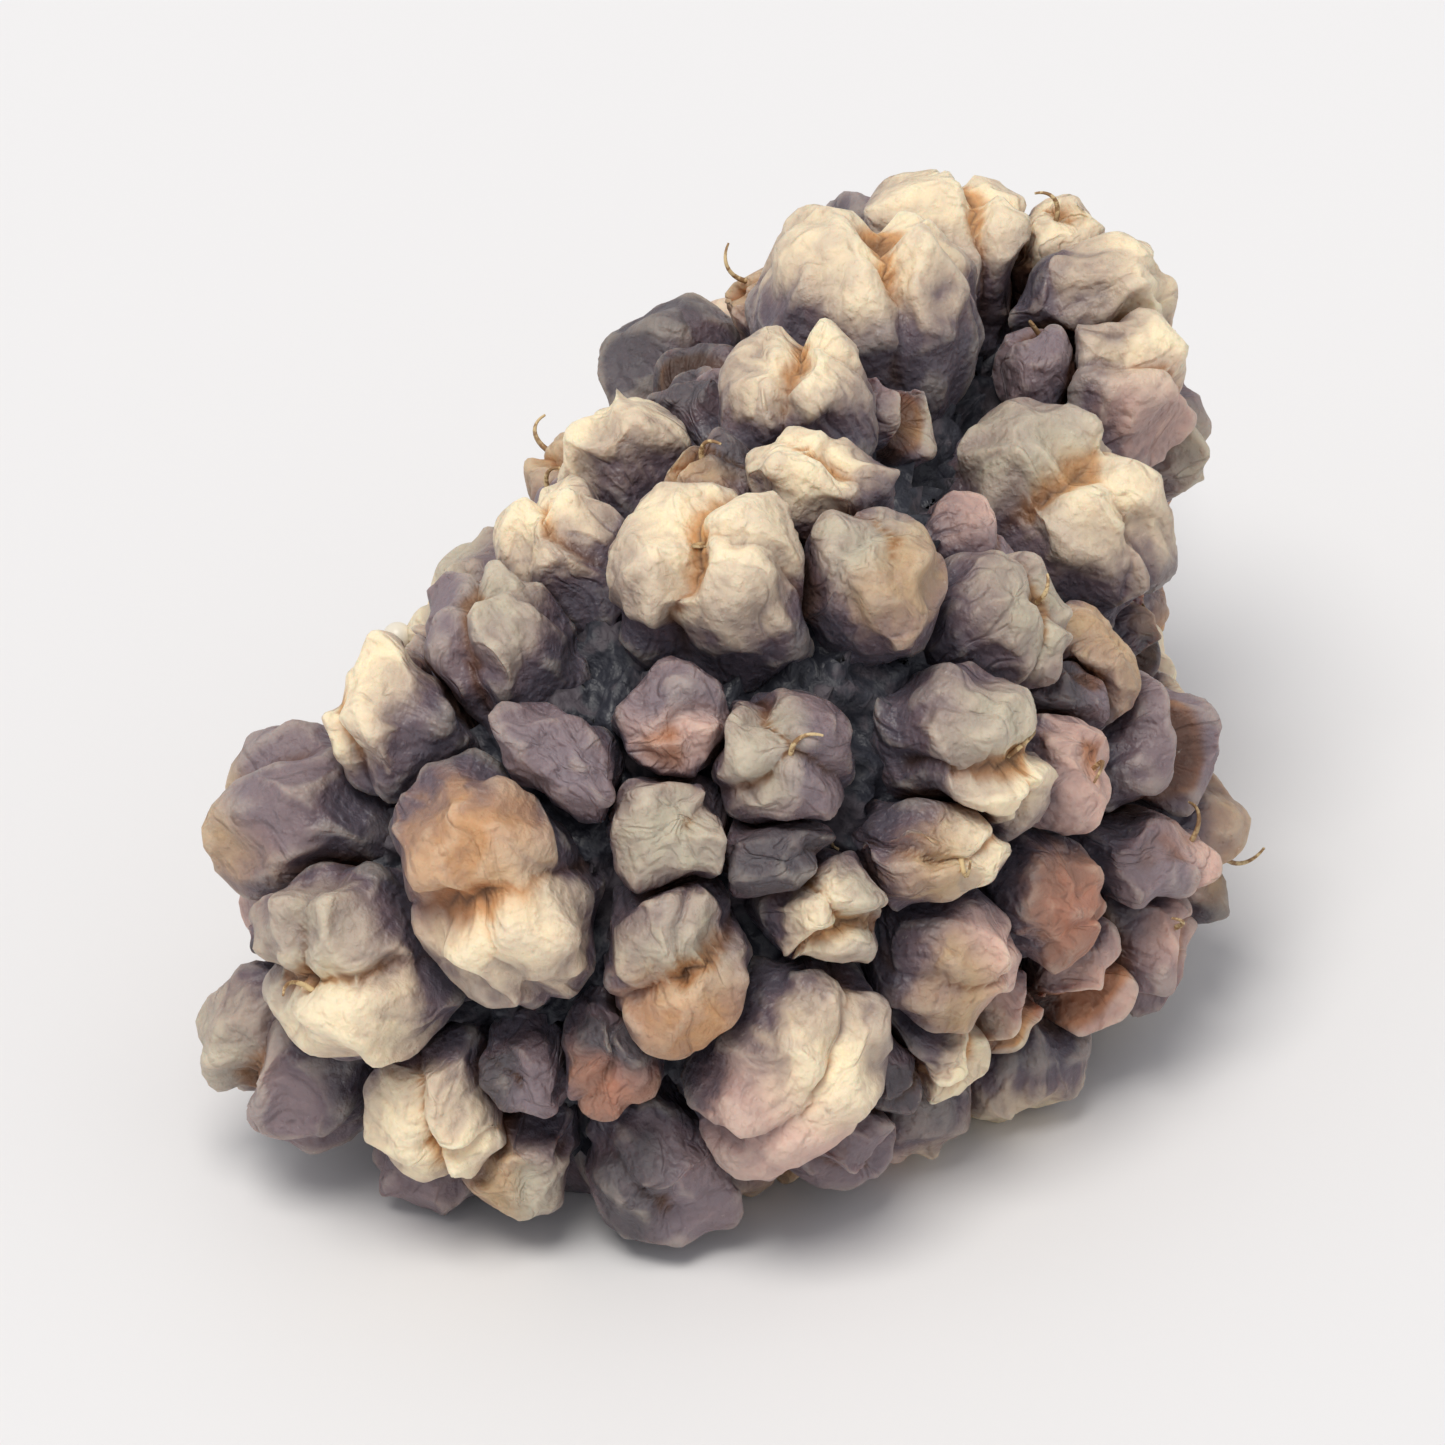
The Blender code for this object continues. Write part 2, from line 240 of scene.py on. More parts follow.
# Middle x and y, length and width in pixels, angle of the length, lobes, and the skin, or the
# skins at the start and at the end of the length. No lobe is a collapsed drupelet.
seenDrupelets = (
    (990, 934, 25, 15, -28, 2, "cream"),
    (1001, 927, 22, 13, -8, 2, "cream"),
    (1014, 927, 13, 12, 0, 1, "cream"),
    (1023, 932, 15, 12, -75, 1, "cream"),
    (1013, 941, 15, 10, 90, 1, "violet"),
    (1023, 945, 20, 12, 85, 2, "rose cream"),
    (1014, 960, 28, 17, -42, 2, "olive cream"),
    (981, 946, 17, 14, -5, 2, "cream"),
    (983, 958, 16, 12, -25, 1, "cream"),
    (990, 969, 18, 15, -40, 1, "olive tan"),
    (1008, 975, 15, 13, 0, 2, "olive"),
    (1018, 980, 14, 11, -20, 1, "tan"),
    (965, 943, 16, 12, 0, 0, "dark"),
    (959, 955, 18, 10, 5, 1, "cream"),
    (949, 959, 10, 8, 45, 1, "violet"),
    (951, 966, 16, 12, 15, 2, "cream"),
    (970, 969, 24, 18, -12, 2, "cream"),
    (942, 977, 17, 15, 0, 2, "violet olive"),
    (930, 987, 16, 15, 0, 2, "cream"),
    (919, 1000, 19, 18, 0, 1, "tan violet"),
    (943, 1008, 29, 19, -60, 2, "amber cream"),
    (925, 1018, 24, 18, -48, 2, "olive cream"),
    (952, 993, 18, 10, -35, 1, "violet"),
    (966, 988, 14, 12, 90, 1, "rose violet"),
    (979, 992, 17, 15, -10, 3, "olive violet"),
    (965, 1002, 15, 14, 0, 1, "olive"),
    (966, 1018, 21, 16, 90, 2, "amber olive"),
    (958, 1030, 13, 11, 80, 1, "brick dark"),
    (916, 1031, 22, 12, -50, 2, "olive violet"),
    (936, 1037, 17, 15, 0, 2, "cream"),
    (946, 1044, 13, 11, 0, 1, "tan olive"),
    (946, 1033, 11, 10, 0, 1, "dark violet"),
    (912, 1016, 11, 9, 90, 1, "dark violet"),
    (964, 1045, 16, 11, 0, 1, "dark violet"),
    (1004, 992, 20, 14, -50, 2, "olive cream"),
    (999, 1004, 17, 12, 5, 1, "tan cream"),
    (978, 1005, 13, 11, 0, 1, "dark"),
    (985, 1012, 15, 14, 0, 3, "cream olive"),
    (1013, 1011, 15, 12, 60, 1, "brick"),
    (1001, 1018, 16, 14, 20, 1, "tan rose"),
    (980, 1031, 26, 17, 60, 1, "rose cream"),
    (1000, 1030, 12, 10, 70, 1, "cream"),
    (1008, 1026, 14, 11, 80, 0, "cream rose"),
    (1018, 1021, 16, 11, 60, 0, "rose"),
    (1027, 1018, 17, 12, 80, 0, "violet rose"),
    (1027, 990, 18, 13, -80, 0, "violet"),
    (1015, 994, 14, 11, 80, 1, "rose"),
    (1027, 1005, 12, 10, 0, 1, "violet rose"),
    (987, 1040, 14, 10, 15, 1, "violet"),
    (993, 1034, 10, 9, 0, 1, "dark"),
    (1016, 984, 11, 9, 0, 1, "dark violet"),
)
# Middle and radius in pixels of the places that stay bare
barePlaces = (
    (1003, 944, 8), (997, 957, 7), (957, 977, 4), (987, 983, 4), (961, 1037, 5), (943, 1026, 5),
)

filling = {
    "seed": 142,
    "rings": 44,
    "sides": 48,
    # usual size across and its spread, the large ones first
    "sizes": ((2.6 * mm, 0.5 * mm), (1.7 * mm, 0.2 * mm)),
    "oval": 0.12,
    "lobes": (0, 1, 1, 1, 2, 2, 2, 3),
    "crowding": 0.86,
    "swell": 1.15,
    "mostSlant": 0.15,
    "slantPower": 0.25,
    "stepInwards": 0.98,
    "apparentRise": 0.5 * mm,
    "domeShare": 1.2,
    "flatDomeShare": 0.95,
    "bareRoundStalk": 1.5 * mm,
    "leavesBodyAt": 0.35,
    "skinSeed": 2089,
    "skins": (
        "cream", "rose cream", "olive cream", "violet rose", "tan cream", "violet olive",
        "tan", "amber cream", "dark violet", "cream rose", "dark tan", "brick amber",
    ),
}

stalkShape = {
    "radius": 0.62 * mm,
    "footRadius": 0.95 * mm,
    "footLength": 0.28,
    "endFrom": 0.85,
    "endSwell": 0.08 * mm,
    # in millimetres from the stem end
    "route": ((-1.9, 0.0, 0.0), (0.6, 0.2, 0.1), (2.4, 0.7, -0.3), (4.2, 2.0, -1.1)),
    "cuts": 7,
    "steps": 10,
    "sides": 64,
    "slimmer": 0.05 * mm,
    "mergeWithin": 0.001 * mm,
    "endWayFrom": 0.98,
    "fibresFollow": (0.3, 0.8),
    "fibreSize": 0.35,
    "fibreOctaves": 2.0,
    "fibreLength": 14,
    "fibreDepth": 0.16 * mm,
    "fibreLevel": 0.9,
    "pithShare": 0.62,
    "pithRim": 0.1,
    "pithDepth": 0.35 * mm,
}


def stalkPoint(share):
    a, b, c, d = (Vector(point) * mm for point in stalkShape["route"])
    rest = 1 - share
    curve = a * rest**3 + b * 3 * rest**2 * share + c * 3 * rest * share**2 + d * share**3
    return bodyPoint(1, 0, 0) + curve


def stalkRadius(share):
    s = stalkShape
    foot = math.exp(-((share / s["footLength"]) ** 2))
    end = max(0.0, (share - s["endFrom"]) / (1 - s["endFrom"]))
    return s["radius"] + (s["footRadius"] - s["radius"]) * foot + s["endSwell"] * end * end


# The turn that brings Z along the stalk's middle stretch
def fibreTurn():
    start, end = stalkShape["fibresFollow"]
    return (stalkPoint(end) - stalkPoint(start)).to_track_quat("Z", "Y").to_euler()


# The picture's right and up, and the way from the fruit back to the camera
def viewDirections():
    az, el = view["azimuth"], view["elevation"]
    right = Vector((math.cos(az), math.sin(az), 0))
    up = Vector((-math.sin(az) * math.sin(el), math.cos(az) * math.sin(el), math.cos(el)))
    return right, up, right.cross(up)


# How far a place in the picture lies from the fruit's middle, across the view
def pictureOffset(x, y):
    right, up, _ = viewDirections()
    middleX, middleY = view["middlePixel"]
    return (right * (x - middleX) - up * (y - middleY)) * view["pixel"]


# Where the skin is seen at a place in the picture, or at the nearest place further in
def seenSpot(surface, x, y):
    back = viewDirections()[2]
    offset = pictureOffset(x, y)
    while True:
        start = bodyShape["middle"] + offset + back * bodyShape["halfLength"] * 3
        spot, normal, _, _ = surface.ray_cast(start, -back)
        if spot:
            return spot, normal
        offset *= filling["stepInwards"]


# A drupelet's own ways: along its length, across it, and out of the fruit
def facing(axis, direction):
    longWay = (direction - axis * direction.dot(axis)).normalized()
    return longWay, axis.cross(longWay), axis


def foreshortening(way, back):
    return max(1 - way.dot(back) ** 2, filling["mostSlant"]) ** filling["slantPower"]


def halfSizes(length, width, lobes):
    share = filling["domeShare"] if lobes else filling["flatDomeShare"]
    return Vector((length / 2, width / 2, share * (length + width) / 4))


# The seen drupelets first, then those that fill the widest gaps until nothing more fits
def drupeletPlaces():
    fine = bodySurface(-filling["apparentRise"], filling["rings"], filling["sides"])
    surface = BVHTree.FromBMesh(fine)
    candidates = [(face.calc_center_median(), face.normal.copy()) for face in fine.faces]
    fine.free()
    right, up, back = viewDirections()
    places = []
    for x, y, length, width, turn, lobes, skin in seenDrupelets:
        spot, axis = seenSpot(surface, x, y)
        angle = math.radians(turn)
        ways = facing(axis, right * math.cos(angle) + up * math.sin(angle))
        swell = filling["swell"] * view["pixel"]
        length *= swell / foreshortening(ways[0], back)
        width *= swell / foreshortening(ways[1], back)
        places.append((spot, ways, halfSizes(length, width, lobes), lobes, skin))
    taken = [(place[0], (place[2].x + place[2].y) / 2) for place in places]
    taken += [(seenSpot(surface, x, y)[0], radius * view["pixel"]) for x, y, radius in barePlaces]
    taken.append((stalkPoint(filling["leavesBodyAt"]), filling["bareRoundStalk"]))
    gaps = [
        min((spot - other).length - radius for other, radius in taken) for spot, _ in candidates
    ]
    draw, skinDraw = Random(filling["seed"]), Random(filling["skinSeed"])
    for usualSize, spread in filling["sizes"]:
        while True:
            lobes = draw.choice(filling["lobes"])
            across = usualSize + spread * draw.uniform(-1, 1)
            oval = 1 + filling["oval"] * draw.random()
            direction = Vector([draw.uniform(-1, 1) for _ in range(3)])
            least = across / 2 * (2 * filling["crowding"] - 1)
            free = [i for i, gap in enumerate(gaps) if gap > least]
            if not free:
                break
            spot, axis = candidates[min(free, key=lambda i: gaps[i])]
            size = halfSizes(across * oval, across / oval, lobes)
            skin = skinDraw.choice(filling["skins"])
            places.append((spot, facing(axis, direction), size, lobes, skin))
            left = [(other - spot).length - across / 2 for other, _ in candidates]
            gaps = [min(pair) for pair in zip(gaps, left)]
    return places


def placeMatrix(spot, ways, size):
    wide = drupeletForm["widening"]
    moved = Matrix.Translation(spot - ways[2] * filling["apparentRise"])
    turned = Matrix(ways).transposed().to_4x4()
    return moved @ turned @ Matrix.Diagonal((size.x * wide, size.y * wide, size.z, 1))


# Forms of drupelet, each modelled once on a radius of 1 and standing up along Z
drupeletForm = {
    "widening": 1.05,
    "cuts": 2,
    "levels": 3,
    "openBelow": -0.45,
    "rimHeight": 0.1,
    "rootSteps": ((0.86, 0.42), (0.5, 0.5)),  # how much narrower, how much deeper
    "pleatSize": 0.6,
    "pleatStretch": 2.5,
    "pleatDepth": 0.07,
    "pleatLevel": 0.6,
    "pleatShift": 20,
    "squeezeTo": (0, 0, -0.3),
    "cleftAbove": -0.15,
    "seed": 5,
}


# A dome on a root that narrows as it goes down into the core
def newDome():
    f = drupeletForm
    deselectAll()
    bpy.ops.mesh.primitive_cube_add(size=2)
    dome = bpy.context.object
    openForEditing(dome)
    bpy.ops.mesh.subdivide(number_cuts=f["cuts"])
    bpy.ops.transform.tosphere(value=1)
    pickVerts(dome, lambda co: co.z < f["openBelow"])
    bpy.ops.mesh.delete(type="VERT")
    for narrow, deep in f["rootSteps"]:
        lowest = min(vert.co.z for vert in bmesh.from_edit_mesh(dome.data).verts)
        pickVerts(dome, lambda co: co.z < lowest + f["rimHeight"])
        bpy.ops.mesh.extrude_region_move(TRANSFORM_OT_translate={"value": (0, 0, -deep)})
        bpy.ops.transform.resize(value=(narrow, narrow, 1), center_override=(0, 0, 0))
    bpy.ops.mesh.edge_face_add()
    bpy.ops.mesh.select_all(action="SELECT")
    bpy.ops.mesh.normals_make_consistent(inside=False)
    closeEditing()
    applyModifier(dome, "SUBSURF", levels=f["levels"], render_levels=f["levels"])
    reach = max(vert.co.z for vert in dome.data.vertices)
    openForEditing(dome)
    bpy.ops.mesh.select_all(action="SELECT")
    bpy.ops.transform.resize(value=(1 / reach,) * 3, center_override=(0, 0, 0))
    closeEditing()
    return dome


# Picks vertices beside lines that run out from the top at these turns; lean is how far the lines
# start to the side, and bend how much they curve
def onCleft(turns, lean, bend, narrow=0.04):
    ways = [Vector((math.cos(turn), math.sin(turn))) for turn in turns]

    def besideLine(flat, way):
        out = flat.dot(way)
        return out > -narrow and abs(flat.cross(way) - bend * out**2) < narrow

    def wanted(co):
        flat = Vector((co.x - lean, co.y))
        return co.z > drupeletForm["cleftAbove"] and any(besideLine(flat, way) for way in ways)
    return wanted


def near(place, reach=0.2):
    return lambda co: (co - Vector(place)).length < reach


def above(height):
    return lambda co: co.z > height


# Lists of forms by their number of lobes, each with its own pleats under its clefts
def makeForms():
    f = drupeletForm
    half, third = math.pi, 2 * math.pi / 3
    plain = newDome()
    shift = Random(f["seed"])
    pleats = ridgedTexture(f["pleatSize"], 1.0)

    def pleatedDome():
        dome = addObject("form", plain.data.copy())
        away = [shift.uniform(-f["pleatShift"], f["pleatShift"]) for _ in range(3)]
        ruler = makeRuler("pleatRuler", (1, 1, f["pleatStretch"]), away)
        raiseSurface(dome, pleats, ruler, f["pleatDepth"], f["pleatLevel"])
        bpy.data.objects.remove(ruler)
        return dome

    dimpled = pleatedDome()
    pushAlong(dimpled, above(0.985), (0, 0, -0.12), 0.35)
    pressIn(dimpled, onCleft((1.1,), 0.2, 0.3), 0.87, 0.87, 0.25)
    creased = pleatedDome()
    pressIn(creased, onCleft((0.4, 0.4 + half * 0.8), 0, 0.35), 0.83, 0.83, 0.3)
    puffed = pleatedDome()
    pressIn(puffed, onCleft((2.2,), 0.15, -0.4), 0.82, 0.82, 0.35)
    pushAlong(puffed, near((0.5, -0.4, 0.7)), (0.1, -0.08, 0.08), 0.6)
    ridged = pleatedDome()
    pressIn(ridged, near((-0.45, 0.35, 0.8), 0.3), 0.84, 0.84, 0.5, "SMOOTH")
    pressIn(ridged, near((0.5, 0.45, 0.7), 0.25), 0.88, 0.88, 0.45, "SMOOTH")
    pressIn(ridged, onCleft((-1.2,), 0, 0.5), 0.9, 0.9, 0.25)

    cleft = pleatedDome()
    pressIn(cleft, onCleft((half / 2, -half / 2), 0, 0.25), 0.78, 0.76, 0.34)
    pressIn(cleft, onCleft((-0.5,), 0.1, -0.4), 0.87, 0.87, 0.25)
    pushAlong(cleft, near((-0.6, 0, 0.75)), (0.04, 0, -0.1), 0.55)
    leaning = pleatedDome()
    pressIn(leaning, onCleft((half / 2 + 0.25, -half / 2 + 0.1), 0.12, -0.3), 0.78, 0.76, 0.32)
    pressIn(leaning, onCleft((0.3,), 0, 0.3), 0.85, 0.85, 0.27)
    pinched = pleatedDome()
    pressIn(pinched, onCleft((half / 2 - 0.2, -half / 2 - 0.3), -0.1, 0.4), 0.8, 0.77, 0.32)
    pressIn(pinched, onCleft((half - 0.3,), 0, 0.4), 0.84, 0.84, 0.27)
    pushAlong(pinched, near((0.6, 0.1, 0.7)), (0.03, 0.04, 0.07), 0.45)

    threeLobed = pleatedDome()
    pressIn(threeLobed, onCleft((0, third + 0.2, 2 * third), 0, 0.3), 0.79, 0.77, 0.33)

    cup = pleatedDome()
    pushAlong(cup, above(0.86), (0, 0, -0.62), 0.62)
    pressIn(cup, near((0.75, 0.5, 0.5), 0.3), 0.9, 0.8, 0.4)
    folded = pleatedDome()
    pressIn(folded, onCleft((0, half), 0, 0.4, 0.1), 0.7, 0.42, 0.6, "SMOOTH")
    pushAlong(folded, near((0, 0.75, 0.6)), (0, -0.12, 0.12), 0.5)

    deselectAll()
    bpy.data.objects.remove(plain)
    return {
        0: (cup, folded),
        1: (dimpled, creased, puffed, ridged),
        2: (cleft, leaning, pinched),
        3: (threeLobed,),
    }


# Skins: the colour of a drupelet's top
skins = {
    "cream": (0.95, 0.80, 0.55),
    "rose": (0.68, 0.46, 0.38),
    "olive": (0.52, 0.46, 0.35),
    "tan": (0.52, 0.36, 0.21),
    "violet": (0.23, 0.18, 0.20),
    "dark": (0.10, 0.085, 0.095),
    "amber": (0.56, 0.31, 0.15),
    "brick": (0.44, 0.20, 0.13),
}

pieceNames = (
    "drupeletsTip", "drupeletsTipSide", "drupeletsMiddle", "drupeletsStemSide", "drupeletsStem",
)

# Sizes of the textures are in millimetres
skinRelief = {
    "lumpSize": 1.2,
    "lumpDepth": 0.4 * mm,
    "creaseSize": 0.9,
    "creaseDepth": 0.1 * mm,
    "creaseLevel": 0.35,
    "warpSize": 0.9,
    "warpDepth": 0.55 * mm,
    "smoothing": 4,
    "smoothingShare": 0.5,
    "wrinkleSize": 0.5,
    "wrinkleOctaves": 1.5,
    "wrinkleDepth": 0.045 * mm,
    "wrinkleLevel": 0.7,
    "crinkleSize": 0.2,
    "crinkleDepth": 0.022 * mm,
    "ridgeSmoothing": 14,
    "ridgeHeight": 0.08 * mm,
}

# In shares of a drupelet's radius
seamShape = {
    "gap": 0.03,
    "rounding": 0.12,
    "neighbourWithin": 1.15,
    "farthest": 1.6,
    "halvings": 9,
    "leastReach": 0.05,
    "seamWidth": 0.3,
    "creaseSpan": 0.35,
    "bowlCrease": 0.95,
    "tintSpan": 0.5,
    "foldStep": 3,
}


# Sets a copy of a form at each place, and joins them piece by piece from the tip to the stem end
def standUpDrupelets(places, forms):
    order = sorted(range(len(places)), key=lambda i: places[i][0].x)
    share = math.ceil(len(order) / len(pieceNames))
    pick = Random(drupeletForm["seed"])
    pieces = []
    for k, name in enumerate(pieceNames):
        copies = []
        for i in order[k * share:(k + 1) * share]:
            spot, ways, size, lobes, _ = places[i]
            copied = addObject("drupelet", pick.choice(forms[lobes]).data.copy())
            copied.data.transform(placeMatrix(spot, ways, size))
            number = copied.data.attributes.new("number", "INT", "POINT")
            number.data.foreach_set("value", [i] * len(copied.data.vertices))
            copies.append(copied)
        pieces.append(joinAll(copies, name))
    return pieces


def coordinates(mesh):
    flat = np.empty(len(mesh.vertices) * 3)
    mesh.vertices.foreach_get("co", flat)
    return flat.reshape(-1, 3)


def lengthsIn(inverse, points):
    return np.linalg.norm(points @ inverse[:3, :3].T + inverse[:3, 3], axis=1)


# How far out along each of a drupelet's own rays its neighbour's skin is met
def meetNeighbour(centre, rays, own, inverse):
    s = seamShape
    low, high = np.zeros(len(rays)), np.full(len(rays), s["farthest"])
    for _ in range(s["halvings"]):
        middle = (low + high) / 2
        other = lengthsIn(inverse, centre + rays * middle[:, None])
        inside = other - own * middle > s["gap"]
        low, high = np.where(inside, middle, low), np.where(inside, high, middle)
    return low


# Presses neighbours flat against each other with a slit between them, and paints where each
# point lies: how high on its drupelet, how near a neighbour, how deep in a crease, and which way
# from the drupelet's middle.
def settleTogether(pieces, places):
    s = seamShape
    rounding = s["rounding"]
    matrices = [np.array(placeMatrix(*place[:3])) for place in places]
    inverses = [np.linalg.inv(matrix) for matrix in matrices]
    centres = np.array([matrix[:3, 3] for matrix in matrices])
    reaches = np.array([max(place[2]) for place in places])
    for piece in pieces:
        mesh = piece.data
        points = coordinates(mesh)
        numbers = np.empty(len(points), np.int32)
        mesh.attributes["number"].data.foreach_get("value", numbers)
        lie = np.ones((len(points), 4))
        tint = np.ones((len(points), 4))
        ownWay = np.zeros((len(points), 3))
        for i in np.unique(numbers):
            mine = np.flatnonzero(numbers == i)
            rays = points[mine] - centres[i]
            own = lengthsIn(inverses[i], points[mine])
            total = np.full(len(mine), np.exp(-1 / rounding))
            beside = np.full(len(mine), s["farthest"])
            apart = np.linalg.norm(centres - centres[i], axis=1)
            for j in np.flatnonzero(apart < (reaches + reaches[i]) * s["neighbourWithin"]):
                if j == i:
                    continue
                met = meetNeighbour(centres[i], rays, own, inverses[j])
                total += np.exp(-met / rounding)
                beside = np.minimum(beside, met)
            keep = np.clip(-rounding * np.log(total), s["leastReach"], 1.0)
            points[mine] = centres[i] + rays * keep[:, None]
            local = points[mine] @ inverses[i][:3, :3].T + inverses[i][:3, 3]
            out = np.linalg.norm(local, axis=1)
            lobes, skin = places[i][3:]
            deepest = 1 if lobes else s["bowlCrease"]
            lie[mine, 0] = np.clip(local[:, 2] / out, 0, 1)
            # how near a neighbour: the skin uses it to paint shade where drupelets nearly touch
            lie[mine, 1] = np.clip(1 - (beside - 1) / s["seamWidth"], 0, 1)
            lie[mine, 2] = np.clip((1.0 - out) / s["creaseSpan"], 0, deepest)
            colours = [np.array(skins[name]) for name in skin.split()]
            share = np.clip(local[:, 0] / s["tintSpan"] + 0.5, 0, 1)[:, None]
            tint[mine, :3] = colours[0] * (1 - share) + colours[-1] * share
            # the step gives each drupelet folds of its own
            ownWay[mine] = local / out[:, None] + s["foldStep"] * i
        mesh.vertices.foreach_set("co", points.astype(np.float32).ravel())
        mesh.update()
        for name, values in (("lie", lie), ("tint", tint)):
            layer = mesh.color_attributes.new(name, "FLOAT_COLOR", "POINT")
            layer.data.foreach_set("color", values.astype(np.float32).ravel())
        layer = mesh.attributes.new("ownWay", "FLOAT_VECTOR", "POINT")
        layer.data.foreach_set("vector", ownWay.astype(np.float32).ravel())


def makeDrupelets(places):
    r = skinRelief
    forms = makeForms()
    print("forms modelled")
    pieces = standUpDrupelets(places, forms)
    for form in [form for several in forms.values() for form in several]:
        bpy.data.objects.remove(form)
    ruler = makeRuler("millimetreRuler", (mm, mm, mm))
    lumps = makeTexture("CLOUDS", r["lumpSize"], noise_depth=1)
    cellEdges = {"weight_1": -1.0, "weight_2": 1.0, "noise_intensity": 1.0}
    creases = makeTexture("VORONOI", r["creaseSize"], **cellEdges)
    warp = makeTexture("CLOUDS", r["warpSize"], noise_depth=1, cloud_type="COLOR")
    wrinkles = ridgedTexture(r["wrinkleSize"], r["wrinkleOctaves"])
    crinkles = makeTexture("CLOUDS", r["crinkleSize"], noise_depth=1)
    for piece in pieces:
        raiseSurface(piece, lumps, ruler, r["lumpDepth"])
        raiseSurface(piece, creases, ruler, r["creaseDepth"], r["creaseLevel"])
    settleTogether(pieces, places)
    for piece in pieces:
        # moves neighbours alike, so that they crumple without running into each other
        raiseSurface(piece, warp, ruler, r["warpDepth"], direction="RGB_TO_XYZ")
        applyModifier(piece, "SMOOTH", factor=r["smoothingShare"], iterations=r["smoothing"])
        raiseSurface(piece, wrinkles, ruler, r["wrinkleDepth"], r["wrinkleLevel"])
        raiseSurface(piece, crinkles, ruler, r["crinkleDepth"], r["wrinkleLevel"])
        paintRidges(piece)
        standOnFloor(piece)
    bpy.data.objects.remove(ruler)
    return pieces


# Paints the share by which the skin stands out of its own smoothed shape, 0.5 where it is level.
# The skin uses it for painted shade in the hollows and a painted highlight on the ridges.
def paintRidges(piece):
    r = skinRelief
    mesh = piece.data
    points, count = coordinates(mesh), len(mesh.vertices)
    edges = np.empty(len(mesh.edges) * 2, np.int32)
    mesh.edges.foreach_get("vertices", edges)
    first, last = edges.reshape(-1, 2).T
    ends = np.bincount(first, minlength=count) + np.bincount(last, minlength=count)
    smooth = points.copy()
    for _ in range(r["ridgeSmoothing"]):
        for k in range(3):
            beside = np.bincount(first, smooth[last, k], count)
            beside += np.bincount(last, smooth[first, k], count)
            smooth[:, k] = (smooth[:, k] + beside / ends) / 2
    normals = np.empty(count * 3)
    mesh.vertices.foreach_get("normal", normals)
    risen = ((points - smooth) * normals.reshape(-1, 3)).sum(axis=1)
    shares = np.clip(0.5 + risen / r["ridgeHeight"] / 2, 0, 1)
    layer = mesh.attributes.new("ridge", "FLOAT", "POINT")
    layer.data.foreach_set("value", shares.astype(np.float32))


# Flattens what hangs below the level that the fruit rests on
def standOnFloor(piece):
    openForEditing(piece)
    pickVerts(piece, lambda co: co.z < 0)
    bpy.ops.transform.resize(value=(1, 1, 0), center_override=(0, 0, 0))
    closeEditing()


# The core, seen in the gaps between the drupelets
coreShape = {
    "inset": 0.5 * mm,
    "rings": 60,
    "sides": 64,
    "wrinkleSize": 0.7,
    "wrinkleOctaves": 2.5,
    "wrinkleDepth": 0.6 * mm,
    "wrinkleLevel": 0.6,
}


def makeCore():
    c = coreShape
    mesh = bpy.data.meshes.new("core")
    surface = bodySurface(c["inset"], c["rings"], c["sides"])
    surface.to_mesh(mesh)
    surface.free()
    core = addObject("core", mesh)
    ruler = makeRuler("coreRuler", (mm, mm, mm))
    wrinkles = ridgedTexture(c["wrinkleSize"], c["wrinkleOctaves"])
    applyModifier(core, "SUBSURF", levels=1, render_levels=1)
    raiseSurface(core, wrinkles, ruler, c["wrinkleDepth"], c["wrinkleLevel"])
    bpy.data.objects.remove(ruler)
    standOnFloor(core)
    return core


# A round thread along a Bezier curve, with a radius by the share of the way along it
def makeThread(name, route, radiusAt, cuts, steps, sides):
    a, b, c, d = route
    deselectAll()
    bpy.ops.curve.primitive_bezier_curve_add()
    thread = bpy.context.object
    thread.name = name
    start, end = thread.data.splines[0].bezier_points
    for knot, place, left, right in ((start, a, a * 2 - b, b), (end, d, c, d * 2 - c)):
        knot.handle_left_type = knot.handle_right_type = "FREE"
        knot.co, knot.handle_left, knot.handle_right = place, left, right
    thread.data.dimensions = "3D"
    bpy.ops.object.mode_set(mode="EDIT")
    bpy.ops.curve.select_all(action="SELECT")
    bpy.ops.curve.subdivide(number_cuts=cuts)
    closeEditing()
    knots = thread.data.splines[0].bezier_points
    for k, knot in enumerate(knots):
        knot.radius = radiusAt(k / (len(knots) - 1)) / mm
    thread.data.resolution_u = steps
    thread.data.bevel_depth = mm  # a knot's radius is in this
    thread.data.bevel_resolution = sides // 4 - 1
    thread.data.use_fill_caps = True
    pickPiece(thread)
    bpy.ops.object.convert(target="MESH")
    return bpy.context.object


